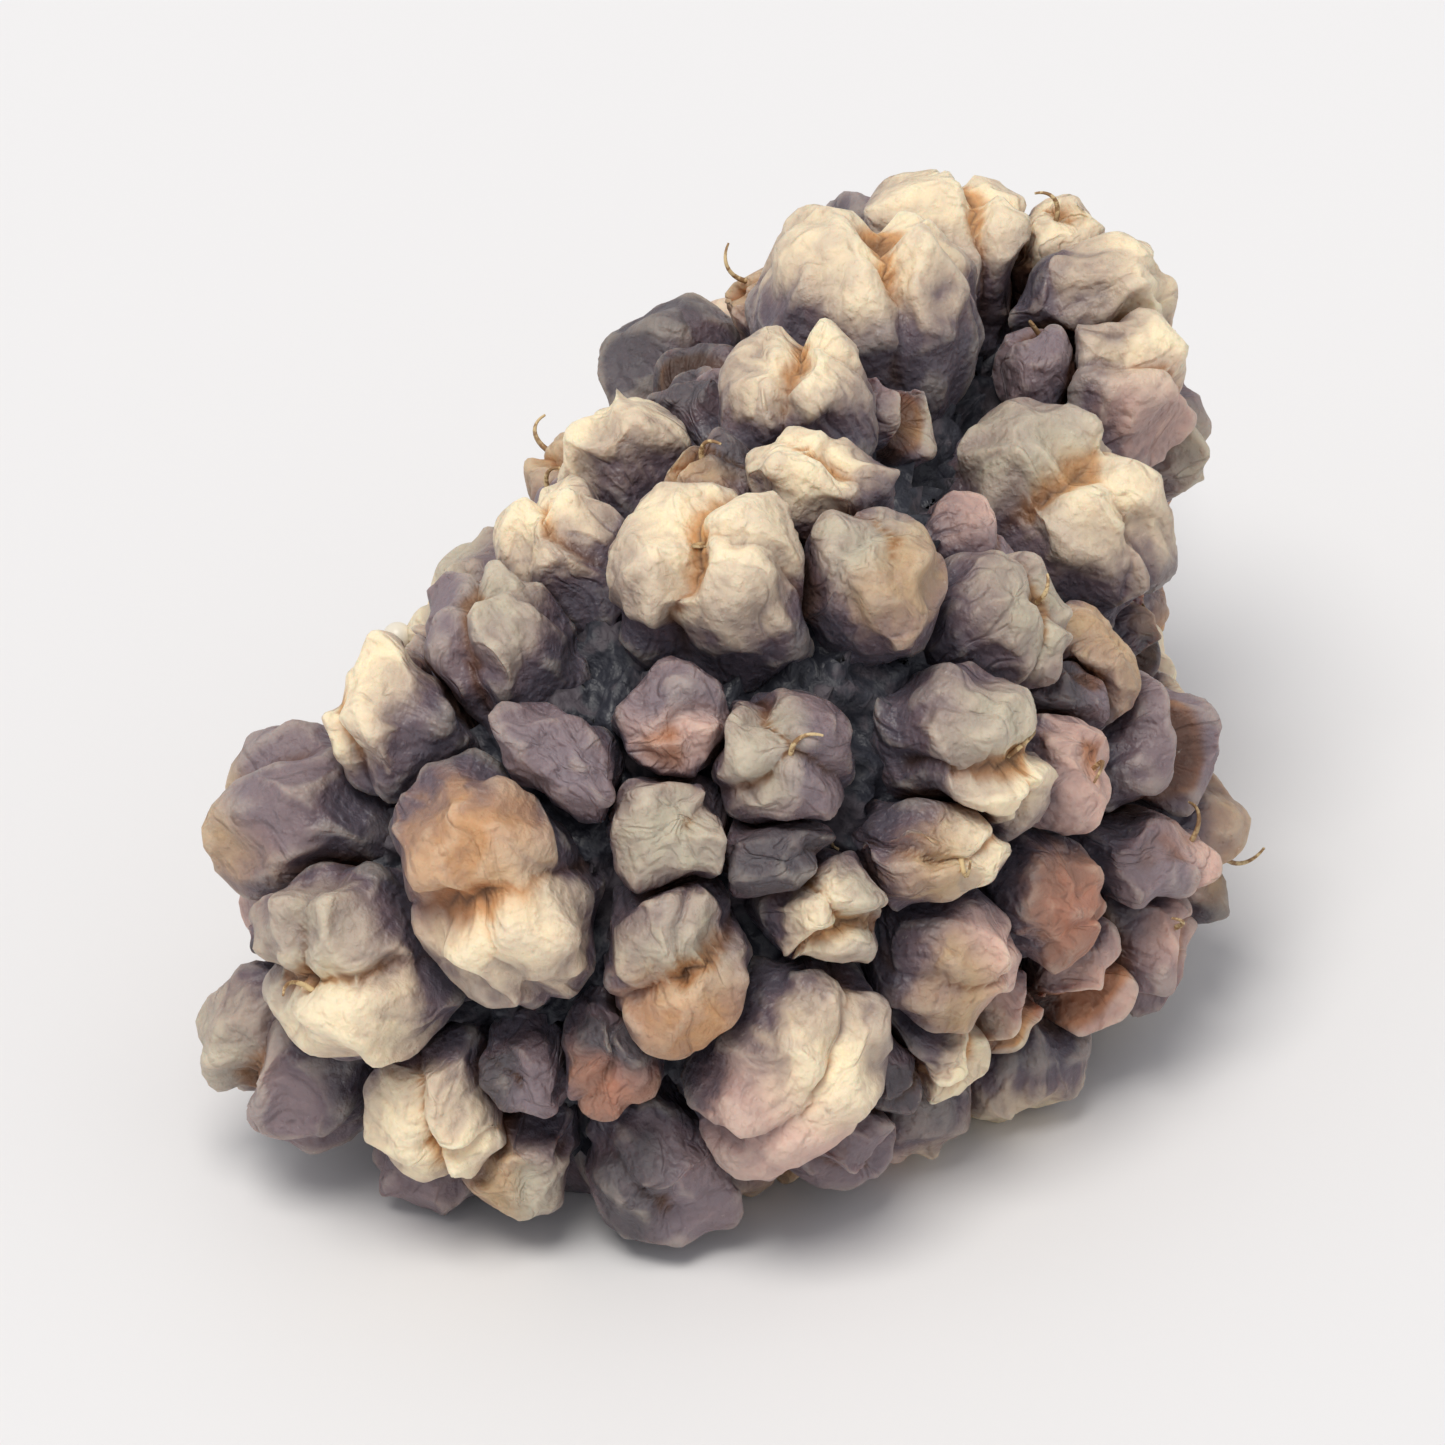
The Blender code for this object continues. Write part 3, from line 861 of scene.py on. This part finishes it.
# The stalk: fibres along a thick thread, and a hollow pith at its cut end
def makeStalk():
    s = stalkShape
    route = [bodyPoint(1, 0, 0) + Vector(point) * mm for point in s["route"]]
    stalk = makeThread(
        "driedStalk", route, lambda share: stalkRadius(share) - s["slimmer"],
        s["cuts"], s["steps"], s["sides"],
    )
    tip = stalkPoint(1)
    along = (tip - stalkPoint(s["endWayFrom"])).normalized()
    openForEditing(stalk)
    bpy.ops.mesh.select_all(action="SELECT")
    bpy.ops.mesh.remove_doubles(threshold=s["mergeWithin"])
    bpy.ops.mesh.normals_make_consistent(inside=False)
    bpy.ops.mesh.select_mode(type="FACE")
    # the cap at the far end is the one face there with more than four corners
    opened = bmesh.from_edit_mesh(stalk.data)
    for face in opened.faces:
        atTip = (face.calc_center_median() - tip).length < s["radius"]
        face.select = atTip and len(face.verts) > 4
    for share in (1 - s["pithShare"], s["pithRim"]):
        bpy.ops.mesh.inset(thickness=s["radius"] * share)
    bpy.ops.transform.translate(value=-along * s["pithDepth"])
    closeEditing()
    ruler = makeRuler("fibreRuler", (mm, mm, mm * s["fibreLength"]))
    ruler.rotation_euler = fibreTurn()
    bpy.context.view_layer.update()
    fibres = ridgedTexture(s["fibreSize"], s["fibreOctaves"])
    raiseSurface(stalk, fibres, ruler, s["fibreDepth"], s["fibreLevel"])
    bpy.data.objects.remove(ruler)
    return stalk


# Dried styles, thin bent threads left on a few drupelets, and one pale bead on the near side
styleShape = {
    "seed": 8,
    "share": 0.16,
    "above": 1.5 * mm,
    "seen": ((1031, 1003), (1029, 1014), (1011, 973), (987, 1003)),
    "length": (0.5 * mm, 0.9 * mm),
    "radius": 0.05 * mm,
    "taper": 0.6,
    "sunk": 0.15 * mm,
    # in shares of the length: straight out, then out and sideways, then back and sideways
    "rise": 0.45,
    "bend": (0.2, 0.4),
    "droop": (0.25, 0.35),
    "cuts": 2,
    "steps": 4,
    "sides": 8,
    "bead": (931, 977),
    "beadRadius": 0.23 * mm,
    "beadRise": 0.5,
}


# The pieces' surface, for rays to meet
def skinTree(pieces):
    points, faces = [], []
    for piece in pieces:
        start = len(points)
        points += [vert.co.copy() for vert in piece.data.vertices]
        faces += [[start + k for k in face.vertices] for face in piece.data.polygons]
    return BVHTree.FromPolygons(points, faces)


def makeStyles(drupelets, places):
    s = styleShape
    draw = Random(s["seed"])
    surface = skinTree(drupelets)
    spots = [seenSpot(surface, x, y) for x, y in s["seen"]]
    for spot, ways, size, _, _ in places:
        hit, normal, _, _ = surface.ray_cast(spot + ways[2] * size.z * 2, -ways[2])
        if draw.random() < s["share"] and hit.z > s["above"]:
            spots.append((hit, normal))
    (bendOut, bendAside), (droopBack, droopAside) = s["bend"], s["droop"]
    threads = []
    for spot, normal in spots:
        # seldom downwards
        sideways = Vector([draw.uniform(lowest, 1) for lowest in (-1, -1, -0.3)])
        flat = (sideways - normal * sideways.dot(normal)).normalized()
        length = draw.uniform(*s["length"])
        root = spot - normal * s["sunk"]
        rise = root + normal * (s["sunk"] + length * s["rise"])
        bend = rise + (normal * bendOut + flat * bendAside) * length
        end = bend + (flat * droopAside - normal * droopBack) * length
        threads.append(makeThread(
            "style", (root, rise, bend, end), lambda share: s["radius"] * (1 - s["taper"] * share),
            s["cuts"], s["steps"], s["sides"],
        ))
    styles = joinAll(threads, "driedStyles")
    spot, normal = seenSpot(surface, *s["bead"])
    bpy.ops.mesh.primitive_ico_sphere_add(subdivisions=3, radius=s["beadRadius"])
    bead = bpy.context.object
    bead.name = "paleBead"
    bead.data.transform(Matrix.Translation(spot + normal * s["beadRadius"] * s["beadRise"]))
    return styles, bead


# Helpers for materials

def newMaterial(name):
    made = bpy.data.materials.new(name)
    made.use_nodes = True
    return made, made.node_tree, made.node_tree.nodes["Principled BSDF"]


def coat(piece, material):
    piece.data.materials.clear()
    piece.data.materials.append(material)
    piece.data.shade_smooth()


# Links or sets a node's inputs, which are given by name or number
def fill(tree, node, given):
    for name, value in given.items():
        socket = node.inputs[name]
        if isinstance(value, bpy.types.NodeSocket):
            tree.links.new(value, socket)
        elif hasattr(value, "__len__") and socket.type == "RGBA":
            socket.default_value = (*value, 1)
        else:
            socket.default_value = value
    return node.outputs


def addNode(tree, kind, given, **settings):
    node = tree.nodes.new("ShaderNode" + kind)
    for name, value in settings.items():
        setattr(node, name, value)
    return fill(tree, node, given)


def mixColours(tree, mask, low, high, blend="MIX"):
    given = {"Factor": mask, "A": low, "B": high}
    return addNode(tree, "Mix", given, data_type="RGBA", blend_type=blend)["Result"]


def rangeOf(tree, value, fromLow, fromHigh, low=0.0, high=1.0):
    names = ("Value", "From Min", "From Max", "To Min", "To Max")
    given = dict(zip(names, (value, fromLow, fromHigh, low, high)))
    return addNode(tree, "MapRange", given, interpolation_type="SMOOTHSTEP")["Result"]


# a * times + b
def addUp(tree, a, times, b):
    return addNode(tree, "Math", {0: a, 1: times, 2: b}, operation="MULTIPLY_ADD")[0]


# A node group whose sockets are numbers, apart from its place and its normal
def newGroup(name, takes, puts):
    group = bpy.data.node_groups.new(name, "ShaderNodeTree")
    for way, socketNames in (("INPUT", takes), ("OUTPUT", puts)):
        for socketName in socketNames:
            kind = "Vector" if socketName in ("Place", "Normal") else "Float"
            group.interface.new_socket(socketName, in_out=way, socket_type="NodeSocket" + kind)
    return group, group.nodes.new("NodeGroupInput").outputs, group.nodes.new("NodeGroupOutput")


def useGroup(tree, group, **given):
    return addNode(tree, "Group", given, node_tree=group)


# A noise at a group's own place and scale
def addCloud(group, given, settings):
    place = {"Vector": given["Place"], "Scale": given["Scale"]}
    return addNode(group, "TexNoise", settings | place)


patternLook = {
    "blotchCloud": {"Detail": 4, "Roughness": 0.6},
    "blotchSoftness": 0.12,
    "foldCloud": {"Detail": 2, "Distortion": 0.4},
    "wrinkleCloud": {"Detail": 3},
    "wrinkleShift": 0.18 * mm,
    "cellDepth": 0.9,
}


# Soft-edged blotches: a mask over a surface, and the plain value that it is cut from
def blotchGroup():
    group, given, wanted = newGroup("blotches", ("Place", "Scale", "Edge"), ("Mask", "Value"))
    value = addCloud(group, given, patternLook["blotchCloud"])["Fac"]
    edgeEnd = addUp(group, given["Edge"], 1.0, patternLook["blotchSoftness"])
    fill(group, wanted, {"Mask": rangeOf(group, value, given["Edge"], edgeEnd), "Value": value})
    return group


# Folds: thin lines where a noise crosses its middle value, 0 in a fold and 1 between the folds
def foldGroup():
    group, given, wanted = newGroup("skinFolds", ("Place", "Scale", "Width"), ("Height", "Value"))
    value = addCloud(group, given, patternLook["foldCloud"])["Fac"]
    away = addNode(group, "Math", {0: addUp(group, value, 2.0, -1.0)}, operation="ABSOLUTE")[0]
    fill(group, wanted, {"Height": rangeOf(group, away, 0.0, given["Width"]), "Value": value})
    return group


# Fine dry wrinkles: cells that run into each other, with a coarser height added below them
def wrinkleGroup():
    takes, puts = ("Place", "Scale", "Depth", "Raised"), ("Normal", "Height")
    group, given, wanted = newGroup("dryWrinkles", takes, puts)
    cloud = addCloud(group, given, patternLook["wrinkleCloud"])
    shift = (patternLook["wrinkleShift"],) * 3
    shifted = {0: cloud["Color"], 1: shift, 2: given["Place"]}
    bent = addNode(group, "VectorMath", shifted, operation="MULTIPLY_ADD")[0]
    placed = {"Vector": bent, "Scale": given["Scale"]}
    cells = addNode(group, "TexVoronoi", placed, feature="SMOOTH_F1")
    height = addUp(group, cells["Distance"], -patternLook["cellDepth"], cloud["Fac"])
    height = addUp(group, given["Raised"], 1.0, height)
    raised = {"Strength": 1, "Distance": given["Depth"], "Height": height}
    bump = addNode(group, "Bump", raised)
    fill(group, wanted, {"Normal": bump["Normal"], "Height": height})
    return group


def objectPlace(tree):
    return addNode(tree, "TexCoord", {})["Object"]


skinLook = {
    # gap and shade: the dark low on each drupelet, partly its real dark skin and partly painted
    # shade in the crevices between drupelets
    "gap": (0.100, 0.085, 0.108),
    "shade": (0.155, 0.110, 0.126),
    "flank": (0.25, 0.165, 0.170),
    "flankTint": 0.4,
    "creaseTint": (0.78, 0.52, 0.33),
    # painted shade: near black deep in the clefts and bowls, over their real reddish-brown
    "deepCrease": (0.06, 0.028, 0.022),
    # painted shade: multiplied into the skin in the hollows of its wrinkles
    "valleyShade": (0.50, 0.42, 0.46),
    # painted highlight: a pale colour laid on the ridges of the wrinkles
    "ridge": (0.80, 0.72, 0.58),
    "veil": (0.33, 0.23, 0.23),
    # fleck: pale specks, partly pale dust and partly painted glints
    "fleck": (0.86, 0.80, 0.70),
    "patchSize": 1.3 * mm,
    "patchEdge": 0.5,
    "veilSize": 0.6 * mm,
    "veilEdge": 0.52,
    "veilShare": 0.18,
    "fleckSize": 0.16 * mm,
    "fleckEdge": 0.68,
    "fleckShare": 0.3,
    # in shares of a drupelet's radius, and how much slower they change up the drupelet
    "foldSize": 0.42,
    "foldStretch": 0.35,
    "foldWidth": 0.2,
    "foldRise": 0.6,
    "wrinkleSize": 0.15 * mm,
    "wrinkleDepth": 0.05 * mm,
    # what shifts a point's height on its drupelet: by what share, and what is added
    "patchShift": (1.0, -0.5),
    "foldedShift": (0.5, -0.25),
    # painted shade: a lower height, so a darker colour, in the fold lines
    "foldShift": (0.1, -0.08),
    # painted highlight: a higher height, so a lighter colour, on the ridges
    "ridgeShift": (0.1, -0.05),
    # painted shade: a lower height, so a darker colour, where a drupelet nearly touches a
    # neighbour
    "seamShift": (-0.1, 0.0),
    # the height, ridge or crease at which each colour begins and is full
    "shadeAt": (-0.1, 0.35),
    "flankAt": (0.2, 0.62),
    "topAt": (0.48, 1.02),
    "creaseAt": (0.35, 0.8),
    "deepCreaseAt": (0.75, 1.2),
    # the same, and then the shares from which and to which it goes
    "valleyAt": (0.45, 0.0, 0.0, 0.3),
    "ridgeAt": (0.6, 1.0, 0.0, 0.2),
    "roughnessAt": (0.2, 0.9, 0.42, 0.62),
    "shine": 0.45,
    "waxShare": 0.35,
    "waxDepth": 0.45 * mm,
    "waxTint": (1.0, 0.5, 0.35),
}


def skinMaterial(blotches, foldLines, wrinkles):
    k = skinLook
    made, tree, shader = newMaterial("driedSkin")
    place = objectPlace(tree)

    def cover(colour, over, mask, blend="MIX"):
        return mixColours(tree, mask, colour, over, blend)

    painted = {"lie": "Color", "tint": "Color", "ridge": "Fac", "ownWay": "Vector"}
    lie, tint, ridge, ownWay = (
        addNode(tree, "Attribute", {}, attribute_name=name)[kind] for name, kind in painted.items()
    )
    high, seam, crease = addNode(tree, "SeparateColor", {0: lie})
    stretched = {0: ownWay, 1: (1, 1, k["foldStretch"])}
    upward = addNode(tree, "VectorMath", stretched, operation="MULTIPLY")[0]
    patches, veils, flecks = (
        useGroup(tree, blotches, Place=place, Scale=1 / k[name + "Size"], Edge=k[name + "Edge"])
        for name in ("patch", "veil", "fleck")
    )
    folds = useGroup(tree, foldLines, Place=upward, Scale=1 / k["foldSize"], Width=k["foldWidth"])
    raised = addUp(tree, folds["Height"], k["foldRise"], 0.0)
    scale, depth = 1 / k["wrinkleSize"], k["wrinkleDepth"]
    fine = useGroup(tree, wrinkles, Place=place, Scale=scale, Depth=depth, Raised=raised)
    height = high
    for shiftedBy, name in (
        (patches["Value"], "patchShift"),
        (folds["Value"], "foldedShift"),
        (folds["Height"], "foldShift"),
        (ridge, "ridgeShift"),
        # painted shade between drupelets that nearly touch
        (seam, "seamShift"),
    ):
        share, added = k[name]
        height = addUp(tree, shiftedBy, share, addUp(tree, height, 1.0, added))
    flank = cover(cover(k["flank"], tint, k["flankTint"]), tint, 1.0, "DARKEN")
    top = cover(tint, k["veil"], addUp(tree, veils["Mask"], k["veilShare"], 0.0))
    # darkest low on each drupelet: real dark skin and painted crevice shade
    colour = cover(k["gap"], k["shade"], rangeOf(tree, height, *k["shadeAt"]))
    colour = cover(colour, flank, rangeOf(tree, height, *k["flankAt"]))
    colour = cover(colour, top, rangeOf(tree, height, *k["topAt"]))
    # painted shade in the wrinkle hollows
    sunk = cover(colour, k["valleyShade"], 1.0, "MULTIPLY")
    colour = cover(colour, sunk, rangeOf(tree, ridge, *k["valleyAt"]))
    # painted highlight on the ridges
    colour = cover(colour, k["ridge"], rangeOf(tree, ridge, *k["ridgeAt"]))
    creased = cover(colour, k["creaseTint"], 1.0, "MULTIPLY")
    colour = cover(colour, creased, rangeOf(tree, crease, *k["creaseAt"]))
    # painted shade deep in the clefts and bowls
    colour = cover(colour, k["deepCrease"], rangeOf(tree, crease, *k["deepCreaseAt"]))
    # pale specks: pale dust and painted glints
    colour = cover(colour, k["fleck"], addUp(tree, flecks["Mask"], k["fleckShare"], 0.0))
    fill(tree, shader, {
        "Base Color": colour,
        "Roughness": rangeOf(tree, height, *k["roughnessAt"]),
        "Normal": fine["Normal"],
        "Specular IOR Level": k["shine"],
        "Subsurface Weight": k["waxShare"],
        "Subsurface Radius": k["waxTint"],
        "Subsurface Scale": k["waxDepth"],
    })
    return made


fleshLook = {
    "dark": (0.030, 0.032, 0.044),
    "light": (0.085, 0.072, 0.086),
    "patchSize": 0.8 * mm,
    "patchEdge": 0.5,
    "wrinkleSize": 0.25 * mm,
    "wrinkleDepth": 0.08 * mm,
    "roughnessAt": (0.3, 0.7, 0.4, 0.7),
}


def fleshMaterial(blotches, wrinkles):
    k = fleshLook
    made, tree, shader = newMaterial("darkFlesh")
    place, scale = objectPlace(tree), 1 / k["wrinkleSize"]
    patches = useGroup(tree, blotches, Place=place, Scale=1 / k["patchSize"], Edge=k["patchEdge"])
    folds = useGroup(tree, wrinkles, Place=place, Scale=scale, Depth=k["wrinkleDepth"])
    fill(tree, shader, {
        "Base Color": mixColours(tree, patches["Mask"], k["dark"], k["light"]),
        "Roughness": rangeOf(tree, patches["Value"], *k["roughnessAt"]),
        "Normal": folds["Normal"],
    })
    return made


strawLook = {
    "pale": (0.66, 0.50, 0.27),
    "brown": (0.30, 0.17, 0.075),
    "stain": (0.20, 0.11, 0.05),
    "stretch": 12,
    "fibreSize": 0.12 * mm,
    "fibreEdge": 0.45,
    "stainSize": 1.0 * mm,
    "stainEdge": 0.55,
    "stainShare": 0.7,
    "wrinkleSize": 0.16 * mm,
    "wrinkleDepth": 0.02 * mm,
    "roughnessAt": (0.3, 0.7, 0.55, 0.8),
}


def strawMaterial(blotches, wrinkles):
    k = strawLook
    made, tree, shader = newMaterial("driedStraw")
    place, scale = objectPlace(tree), 1 / k["wrinkleSize"]
    lengthwise = {"Vector": place, "Rotation": fibreTurn(), "Scale": (1, 1, k["stretch"])}
    along = addNode(tree, "Mapping", lengthwise, vector_type="TEXTURE")["Vector"]
    fibres = useGroup(tree, blotches, Place=along, Scale=1 / k["fibreSize"], Edge=k["fibreEdge"])
    stains = useGroup(tree, blotches, Place=place, Scale=1 / k["stainSize"], Edge=k["stainEdge"])
    folds = useGroup(tree, wrinkles, Place=along, Scale=scale, Depth=k["wrinkleDepth"])
    colour = mixColours(tree, fibres["Mask"], k["brown"], k["pale"])
    stained = addUp(tree, stains["Mask"], k["stainShare"], 0.0)
    fill(tree, shader, {
        "Base Color": mixColours(tree, stained, colour, k["stain"]),
        "Roughness": rangeOf(tree, fibres["Value"], *k["roughnessAt"]),
        "Normal": folds["Normal"],
    })
    return made


beadLook = {"colour": (0.80, 0.74, 0.62), "roughness": 0.35}


def plainMaterial(name, colour, roughness):
    made, tree, shader = newMaterial(name)
    fill(tree, shader, {"Base Color": colour, "Roughness": roughness})
    return made


# Floor, light and camera
studio = {
    "floorSize": 900 * mm,
    "floorDrop": 0.01 * mm,
    "floorLook": {"colour": (0.80, 0.80, 0.81), "roughness": 0.6},
    "framePixels": 184,
    "frameMiddle": (971.5, 988.0),
    "lens": 500,
    "clipShares": (0.1, 10),
    "sunTurn": (math.radians(22), 0, math.radians(-92)),
    "sunColour": (1.0, 0.96, 0.90),
    "sunStrength": 2.12,
    "sunSpread": math.radians(32),
    "skyColour": (0.95, 0.96, 1.0),
    "skyStrength": 0.55,
}


def makeStudio():
    s = studio
    deselectAll()
    bpy.ops.mesh.primitive_plane_add(size=s["floorSize"], location=(0, 0, -s["floorDrop"]))
    floor = bpy.context.object
    floor.name = "floor"
    coat(floor, plainMaterial("paleFloor", **s["floorLook"]))
    bpy.ops.object.light_add(type="SUN", rotation=s["sunTurn"])
    sun = bpy.context.object.data
    sun.energy, sun.angle, sun.color = s["sunStrength"], s["sunSpread"], s["sunColour"]
    world = bpy.data.worlds.new("studio")
    world.use_nodes = True
    sky = {"Color": s["skyColour"], "Strength": s["skyStrength"]}
    fill(world.node_tree, world.node_tree.nodes["Background"], sky)
    bpy.context.scene.world = world
    bpy.context.scene.view_settings.view_transform = "Standard"


# Looks along the photograph's own direction, and frames the fruit
def makeCamera():
    s = studio
    back = viewDirections()[2]
    camera = addObject("camera", bpy.data.cameras.new("camera"))
    camera.data.lens = s["lens"]
    width = s["framePixels"] * view["pixel"]
    distance = width / 2 / (camera.data.sensor_width / 2 / s["lens"])
    camera.location = bodyShape["middle"] + pictureOffset(*s["frameMiddle"]) + back * distance
    camera.rotation_euler = (-back).to_track_quat("-Z", "Y").to_euler()
    camera.data.clip_start, camera.data.clip_end = (distance * share for share in s["clipShares"])
    bpy.context.scene.camera = camera


places = drupeletPlaces()
print(len(places), "drupelets placed")
drupelets = makeDrupelets(places)
print("drupelets pressed together")
core = makeCore()
stalk = makeStalk()
print("core and stalk modelled")
styles, bead = makeStyles(drupelets, places)
print("styles and bead modelled")
blotches, foldLines, wrinkles = blotchGroup(), foldGroup(), wrinkleGroup()
skin, straw = skinMaterial(blotches, foldLines, wrinkles), strawMaterial(blotches, wrinkles)
for piece in drupelets:
    coat(piece, skin)
coat(core, fleshMaterial(blotches, wrinkles))
coat(stalk, straw)
coat(styles, straw)
coat(bead, plainMaterial("paleWax", **beadLook))
for piece in (*drupelets, core, styles, bead):
    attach(piece, "root")
    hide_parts("fruit")
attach(stalk, "root")
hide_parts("stalk")
makeStudio()
makeCamera()
print("pieces finished")
